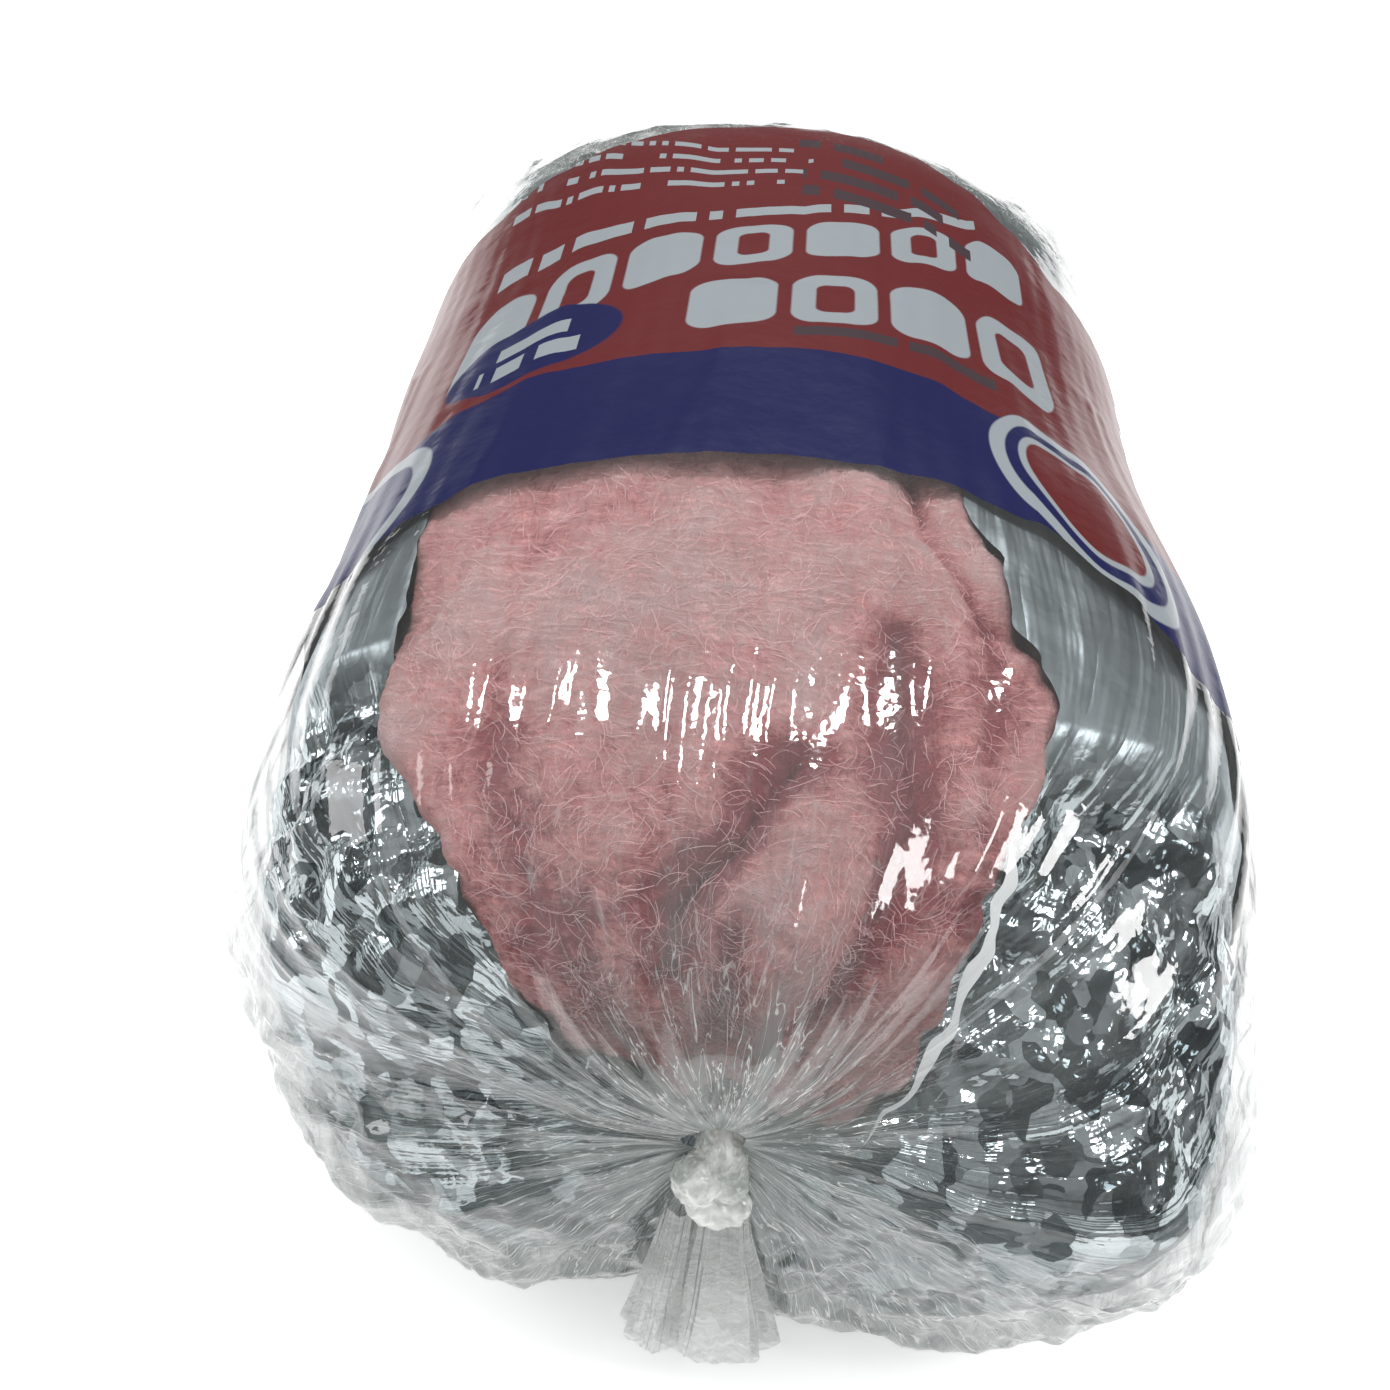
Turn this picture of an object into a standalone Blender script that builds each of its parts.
# Duct insulation sleeve, packed: a folded glass-wool blanket in its metallised
# film jacket, inside a clear printed bag that is knotted at the near end and
# sealed flat at the far end. It lies on its side, knot toward -Y, on z = 0.
# Metres, +Z up, origin at the middle of the footprint.
import math

import bmesh
import bpy

# Driving dimensions of the whole pack
PACK_LENGTH = 0.600
PACK_HEIGHT = 0.200
HALF_WIDTH = 0.1685         # of the plain section
WIDEST_HEIGHT = 0.090       # height of the widest level
UNDERSIDE_SAG = 0.016       # how far the round section is pressed flat on the floor
SECTION_POWER = 2.03        # 2 is an ellipse, more is boxier

# Gathered neck, knot and the loose tail below it
NECK_X = 0.011
NECK_HEIGHT = 0.127
NECK_RADIUS = 0.009
CHANNEL_RADIUS = 0.0045     # free way left through the gathered neck and knot
KNOT_RADIUS = 0.0145
KNOT_TURN = 0.015           # radius in which the knot turns the film downward
TAIL_HALF_WIDTH = 0.036
TAIL_HALF_DEPTH = 0.008
TAIL_CLEARANCE = 0.006      # mouth of the tail above the floor
TAIL_LEAN = 0.003           # mouth further out than the knot
NECK_Y = KNOT_TURN + TAIL_LEAN + TAIL_HALF_DEPTH - PACK_LENGTH / 2

# Bag
FILM = 0.0010               # wall of the bag
NEAR_CAP_DEPTH = 0.145      # from where the sides turn in to the neck
NEAR_SHOULDER_Y = NECK_Y + NEAR_CAP_DEPTH
# The near cap in eight directions from +X up and round by the left side: its
# fullness (2 is an ellipse), how far it bulges past the neck as a share of its
# depth, and how far the pack swells or draws in where the cap meets the sides
CAP_POWERS = (5.5, 2.05, 3.0, 2.9, 3.6, 3.6, 6.0, 9.0)
CAP_BULGES = (0.16, -0.03, 0.0, 0.0, -0.08, 0.15, 0.03, 0.12)
SWELLS = (0.007, 0.022, 0.0, 0.0075, -0.018, -0.036, 0.0, -0.004)
SWELL_FADE = 5.5            # a swell dies away toward the far shoulder, 2 is slow
SEAL_DEPTH = 0.016
SEAL_HALF_WIDTH = HALF_WIDTH + SWELLS[0]
SEAL_Y = PACK_LENGTH / 2 - SEAL_DEPTH
FAR_CAP_DEPTH = 0.112       # from where the pack starts to thin to the seal
FAR_SHOULDER_Y = SEAL_Y - FAR_CAP_DEPTH
SWELL_REACH = FAR_SHOULDER_Y - NEAR_SHOULDER_Y
FAR_CAP_RISE = 1.5          # how steeply the far end closes on the seal
FAR_CAP_FULLNESS = 2.6

# Contents
SEAT_GAP = 0.0005           # between pieces that lie on one another
JACKET = 0.0008             # wall of the metallised film jacket
JACKET_NEAR_ROOM = 0.020    # slack film between the neck and the jacket
JACKET_FAR_ROOM = 0.014
# Facet at which the jacket stops on the right of the wool and starts again on
# its left, from each run on: 0 is the neck, 1 the shoulder, 2 the far shoulder
JACKET_RIGHT_EDGE = ((0.0, 2), (0.15, 3), (0.21, 4), (0.28, 5), (0.43, 6), (0.95, 7))
JACKET_LEFT_EDGE = ((0.0, 20), (0.10, 18), (0.15, 16), (0.21, 15), (0.28, 14), (0.43, 13),
                    (0.70, 14))
WOOL_FOLD_ROOM = 0.006      # between the wool and the jacket at both ends
# Creases pressed into the wool: facet, run where each starts and ends, depth
WOOL_CREASES = ((8, 0.20, 1.30, 0.010), (10, 0.25, 0.85, 0.010), (12, 0.30, 1.10, 0.006),
                (14, 0.10, 0.60, 0.006))
FOLD_DRAW = 0.020           # contents narrower at their far fold
FOLD_HALF_WIDTH = HALF_WIDTH - FOLD_DRAW
JACKET_INSET = FILM + SEAT_GAP
JACKET_NEAR_Y = NECK_Y + JACKET_NEAR_ROOM
JACKET_FAR_Y = SEAL_Y - JACKET_FAR_ROOM
WOOL_INSET = JACKET_INSET + JACKET + SEAT_GAP
WOOL_NEAR_Y = JACKET_NEAR_Y + WOOL_FOLD_ROOM
WOOL_FAR_Y = JACKET_FAR_Y - WOOL_FOLD_ROOM

# Facets
AROUND = 40
CAP_STEPS = 16
BARREL_STEPS = 9
FAR_STEPS = 9
KNOT_STEPS = 5
TAIL_STEPS = 5
FACET = 2 * math.pi / AROUND
SHARP_ANGLE = math.radians(40)
WELD = 1e-7


def signed_power(value, power):
    return math.copysign(abs(value) ** power, value)


def in_direction(values, angle):
    """A value given in evenly spread directions, blended for any angle."""
    place = angle / (2 * math.pi) * len(values)
    first = math.floor(place)
    share = (1 - math.cos((place - first) * math.pi)) / 2
    here = values[first % len(values)]
    there = values[(first + 1) % len(values)]
    return here + (there - here) * share


def section_point(angle, y, inset):
    """x, z on the pressed oval section at y, drawn in by inset."""
    power = 2 / SECTION_POWER
    away = (y - NEAR_SHOULDER_Y) / SWELL_REACH
    swell = in_direction(SWELLS, angle) * max(0.0, 1 - away * away) ** SWELL_FADE
    x = (HALF_WIDTH - inset) * signed_power(math.cos(angle), power) + swell * math.cos(angle)
    if math.sin(angle) >= 0:
        reach = PACK_HEIGHT - WIDEST_HEIGHT - inset
    else:
        reach = WIDEST_HEIGHT + UNDERSIDE_SAG - inset
    z = WIDEST_HEIGHT + reach * signed_power(math.sin(angle), power) + swell * math.sin(angle)
    return x, max(inset, z)


def cap_ring(swing, end_y, core_radius, inset):
    """Ring of the near cap: swing 0 is the shoulder, 1 is the neck or the pole."""
    across = math.cos(swing * math.pi / 2) if swing < 1 else 0.0
    forward = math.sin(swing * math.pi / 2)

    def ring(angle):
        power = in_direction(CAP_POWERS, angle)
        reach = (across ** power + forward ** power) ** (-1 / power)
        spread = across * reach
        bulge = 1 + in_direction(CAP_BULGES, angle) * math.sin(swing * math.pi)
        y = NEAR_SHOULDER_Y + (end_y - NEAR_SHOULDER_Y) * forward * reach * bulge
        x, z = section_point(angle, y, inset)
        core_x = NECK_X + core_radius * math.cos(angle)
        core_z = NECK_HEIGHT + core_radius * math.sin(angle)
        return core_x + (x - core_x) * spread, y, core_z + (z - core_z) * spread
    return ring


def barrel_ring(travel, inset):
    y = NEAR_SHOULDER_Y + (FAR_SHOULDER_Y - NEAR_SHOULDER_Y) * travel

    def ring(angle):
        x, z = section_point(angle, y, inset)
        return x, y, z
    return ring


def far_ring(travel, end_y, end_half_width, lip, inset):
    """Ring of the far end: travel 0 is the shoulder, 1 is a flat line, lip thick."""
    height = max(0.0, 1 - travel ** FAR_CAP_FULLNESS) ** (1 / FAR_CAP_RISE)
    ease = travel * travel * (3 - 2 * travel)
    widen = 1 + ((end_half_width - inset) / (HALF_WIDTH - inset) - 1) * ease
    y = FAR_SHOULDER_Y + (end_y - FAR_SHOULDER_Y) * travel

    def ring(angle):
        x, z = section_point(angle, FAR_SHOULDER_Y, inset)
        flat = WIDEST_HEIGHT + lip * math.sin(angle)
        return x * widen, y, flat + (z - flat) * height
    return ring


def tube_ring(centre_y, centre_z, turned, half_width, half_depth):
    """Ring across the tied film, turned from facing -Y (0) to facing down (90)."""
    lean = math.radians(turned)

    def ring(angle):
        up = half_depth * math.sin(angle)
        x = NECK_X + half_width * math.cos(angle)
        return x, centre_y - up * math.sin(lean), centre_z + up * math.cos(lean)
    return ring


def knot_rings(inside):
    """From the neck round the knot's turn, until the film hangs straight down."""
    rings = []
    for step in range(1, KNOT_STEPS + 1):
        part = step / KNOT_STEPS
        turn = part * math.pi / 2
        radius = NECK_RADIUS + (KNOT_RADIUS - NECK_RADIUS) * math.sin(part * math.pi)
        if inside:
            radius = CHANNEL_RADIUS
        y = NECK_Y - KNOT_TURN * math.sin(turn)
        z = NECK_HEIGHT - KNOT_TURN * (1 - math.cos(turn))
        rings.append(tube_ring(y, z, 90 * part, radius, radius))
    return rings


def tail_rings(wall):
    """From the knot down to the flared mouth, drawn in by wall."""
    top = NECK_HEIGHT - KNOT_TURN
    rings = []
    for step in range(1, TAIL_STEPS + 1):
        part = step / TAIL_STEPS
        flare = math.sin(part * math.pi / 2)
        width = NECK_RADIUS + (TAIL_HALF_WIDTH - NECK_RADIUS) * flare - wall
        depth = NECK_RADIUS + (TAIL_HALF_DEPTH - NECK_RADIUS) * part - wall
        y = NECK_Y - KNOT_TURN - TAIL_LEAN * part
        rings.append(tube_ring(y, top + (TAIL_CLEARANCE - top) * part, 90, width, depth))
    return rings


def seal_ring(half_height):
    """The far edge of the seal strip."""
    def ring(angle):
        x = far_ring(1.0, SEAL_Y, SEAL_HALF_WIDTH, 0.0, 0.0)(angle)[0]
        return x, PACK_LENGTH / 2, WIDEST_HEIGHT + half_height * math.sin(angle)
    return ring


def shares(steps):
    return [step / steps for step in range(steps + 1)]


def bag_rings():
    """From the seal along the outside to the tail's mouth, and back inside."""
    outside = [cap_ring(s, NECK_Y, NECK_RADIUS, 0.0) for s in reversed(shares(CAP_STEPS))]
    outside += [barrel_ring(t, 0.0) for t in shares(BARREL_STEPS)[1:]]
    outside += [far_ring(t, SEAL_Y, SEAL_HALF_WIDTH, FILM, 0.0) for t in shares(FAR_STEPS)[1:]]
    outside += [seal_ring(FILM), seal_ring(0.0)]
    inner_end = NECK_Y + FILM
    inner_seal = SEAL_Y - 2 * FILM
    inside = [cap_ring(s, inner_end, CHANNEL_RADIUS, FILM) for s in reversed(shares(CAP_STEPS))]
    inside += [barrel_ring(t, FILM) for t in shares(BARREL_STEPS)[1:]]
    inside += [far_ring(t, inner_seal, SEAL_HALF_WIDTH, 0.0, FILM) for t in shares(FAR_STEPS)[1:]]
    tied = knot_rings(False) + tail_rings(0.0) + tail_rings(FILM)[::-1] + knot_rings(True)[::-1]
    return outside[::-1] + tied + inside


def crease_depth(angle, run):
    """How deep the wool is pressed in at a facet's edge."""
    depth = 0.0
    for facet, start, end, deepest in WOOL_CREASES:
        if round(angle / FACET) == facet and start < run < end:
            depth += deepest * math.sin((run - start) / (end - start) * math.pi)
    return depth


def creased_ring(run):
    """Ring of the wool at run: 0 to 1 over the cap, to 2 on the sides, to 3 at the fold."""
    def ring(angle):
        inset = WOOL_INSET + crease_depth(angle, run)
        if run <= 1:
            return cap_ring(1 - run, WOOL_NEAR_Y, 0.0, inset)(angle)
        if run <= 2:
            return barrel_ring(run - 1, inset)(angle)
        return far_ring(run - 2, WOOL_FAR_Y, FOLD_HALF_WIDTH, 0.0, inset)(angle)
    return ring


def content_runs():
    """Runs of the rings from the near pole to the far fold."""
    runs = shares(CAP_STEPS)
    runs += [1 + travel for travel in shares(BARREL_STEPS)[1:]]
    return runs + [2 + travel for travel in shares(FAR_STEPS)[1:]]


def jacket_rings(inset, wall):
    """One side of the jacket's wall, near end to far, both ends left open."""
    rings = [cap_ring(s, JACKET_NEAR_Y + wall, 0.0, inset) for s in reversed(shares(CAP_STEPS)[:-1])]
    rings += [barrel_ring(t, inset) for t in shares(BARREL_STEPS)[1:]]
    far_y = JACKET_FAR_Y - wall
    rings += [far_ring(t, far_y, FOLD_HALF_WIDTH, 0.0, inset) for t in shares(FAR_STEPS)[1:-1]]
    return rings


def edge_facet(edges, run):
    """Facet at which the jacket ends on one side at run."""
    return [facet for start, facet in edges if start <= run][-1]


def film_material(name, colour, roughness, metallic=0.0, alpha=1.0):
    made = bpy.data.materials.new(name)
    made.use_nodes = True
    shader = made.node_tree.nodes["Principled BSDF"]
    shader.inputs["Base Color"].default_value = (*colour, 1.0)
    shader.inputs["Roughness"].default_value = roughness
    shader.inputs["Metallic"].default_value = metallic
    shader.inputs["Alpha"].default_value = alpha
    return made


def lofted(name, columns, rows, place, surface):
    """A grid laid over place(column, row) and welded where its points meet."""
    bm = bmesh.new()
    bmesh.ops.create_grid(bm, x_segments=columns, y_segments=rows, size=0.5)
    for vert in bm.verts:
        column = round((vert.co.x + 0.5) * columns)
        row = round((vert.co.y + 0.5) * rows)
        vert.co = place(column, row)
    bmesh.ops.remove_doubles(bm, verts=bm.verts, dist=WELD)
    bmesh.ops.dissolve_degenerate(bm, edges=bm.edges, dist=WELD)
    # the pieces lie close on one another, so their facets are split alike
    bmesh.ops.triangulate(bm, faces=bm.faces, quad_method="SHORT_EDGE")
    bmesh.ops.recalc_face_normals(bm, faces=bm.faces)
    if bm.calc_volume(signed=True) < 0:
        bmesh.ops.reverse_faces(bm, faces=bm.faces)
    mesh = bpy.data.meshes.new(name)
    bm.to_mesh(mesh)
    bm.free()
    mesh.shade_smooth()
    mesh.set_sharp_from_angle(angle=SHARP_ANGLE)
    mesh.materials.append(surface)
    made = bpy.data.objects.new(name, mesh)
    bpy.context.scene.collection.objects.link(made)
    return made


def closed_loft(name, rings, surface):
    def place(column, row):
        return rings[row]((column % AROUND) * FACET)
    return lofted(name, AROUND, len(rings) - 1, place, surface)


def build_jacket(surface):
    """Columns run right edge, floor, left edge on the outside of the wall and
    back on its inside. The first and last rows fold over to close the wall,
    and columns beyond an edge are drawn back to it and welded."""
    highest = max(facet for start, facet in JACKET_RIGHT_EDGE)
    lowest = min(facet for start, facet in JACKET_LEFT_EDGE) - AROUND
    facets = highest - lowest
    outside = jacket_rings(JACKET_INSET, 0.0)
    inside = jacket_rings(JACKET_INSET + JACKET, JACKET)
    runs = content_runs()[1:-1]
    last_row = len(outside) + 1
    columns = 2 * facets + 2

    def place(column, row):
        column = column % columns
        on_outside = column <= facets
        step = column if on_outside else columns - 1 - column
        level = min(max(row - 1, 0), len(outside) - 1)
        facet = min(highest - step, edge_facet(JACKET_RIGHT_EDGE, runs[level]))
        facet = max(facet, edge_facet(JACKET_LEFT_EDGE, runs[level]) - AROUND)
        side = outside if on_outside or row in (0, last_row) else inside
        return side[level](facet * FACET)

    return lofted("foil_jacket", columns, last_row, place, surface)


for leftover in list(bpy.context.scene.objects):
    bpy.data.objects.remove(leftover)

clear_film = film_material("printed polyethylene film", (0.62, 0.66, 0.66), 0.12, alpha=0.35)
metallised = film_material("metallised film", (0.36, 0.40, 0.41), 0.28, metallic=0.9)
glass_wool = film_material("pink glass wool", (0.66, 0.24, 0.27), 0.95)

closed_loft("wool_blanket", [creased_ring(run) for run in content_runs()], glass_wool)
build_jacket(metallised)
closed_loft("poly_bag", bag_rings(), clear_film)
